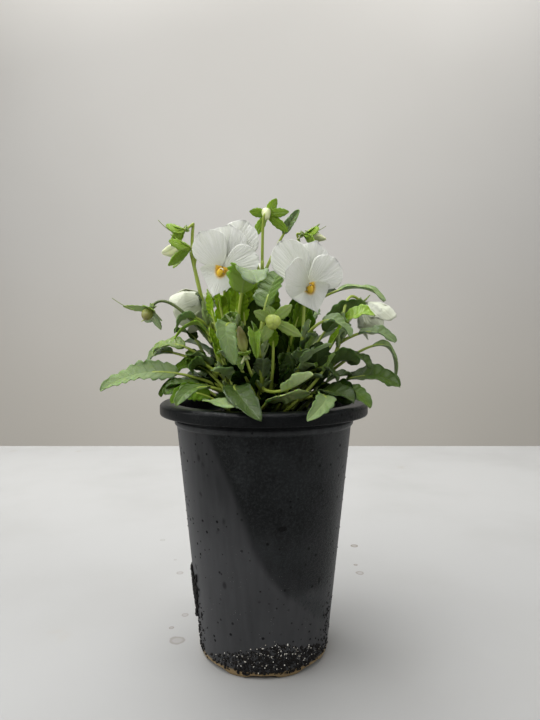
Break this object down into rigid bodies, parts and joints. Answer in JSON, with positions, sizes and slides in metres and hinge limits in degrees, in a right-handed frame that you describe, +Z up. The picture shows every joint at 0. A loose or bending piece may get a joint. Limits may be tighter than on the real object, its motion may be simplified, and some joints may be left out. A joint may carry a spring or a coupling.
{
  "type": "potted garden viola",
  "caption": "White-flowered garden viola with open blooms, nodding buds and seed capsules on toothed leafy stems, growing in a tall round black nursery pot.",
  "frame": {"origin": "middle of the pot's flat foot, on the surface it stands on, which is the flat face base", "axes": "+Z up, along the pot's axis; -Y is the front, the side seen in the picture; +X is to the right in that view"},
  "size_m": [0.1746, 0.1257, 0.2641],
  "materials": {
    "black_plastic": "semi-matt blow-moulded nursery plastic, charcoal black",
    "potting_mix": "moist crumbled peat and bark with white perlite",
    "leaf_green": "soft satin leaf, paler underneath",
    "petal_white": "thin translucent petal, faintly veined",
    "eye_yellow": "matt, deep yellow",
    "bud_green": "smooth waxy pale green"
  },
  "bodies": {
    "root": {"pot": "black_plastic", "potting_mix": "potting_mix", "leafy_stem_left": "leaf_green", "leafy_stem_front_left": "leaf_green", "leafy_stem_front": "leaf_green", "leafy_stem_front_right": "leaf_green", "leafy_stem_right": "leaf_green", "leafy_stem_back_right": "leaf_green", "leafy_stem_back": "leaf_green", "leafy_stem_back_left": "leaf_green", "bloom_petals_1": "petal_white", "bloom_petals_2": "petal_white", "bloom_eye_1": "eye_yellow", "bloom_eye_2": "eye_yellow", "young_bloom_1": "petal_white", "young_bloom_2": "petal_white", "young_bloom_3": "petal_white", "bud_1": "bud_green", "bud_2": "bud_green", "bud_3": "bud_green", "bud_4": "bud_green", "seed_capsule_1": "bud_green", "seed_capsule_2": "bud_green"}
  },
  "joints": []
}
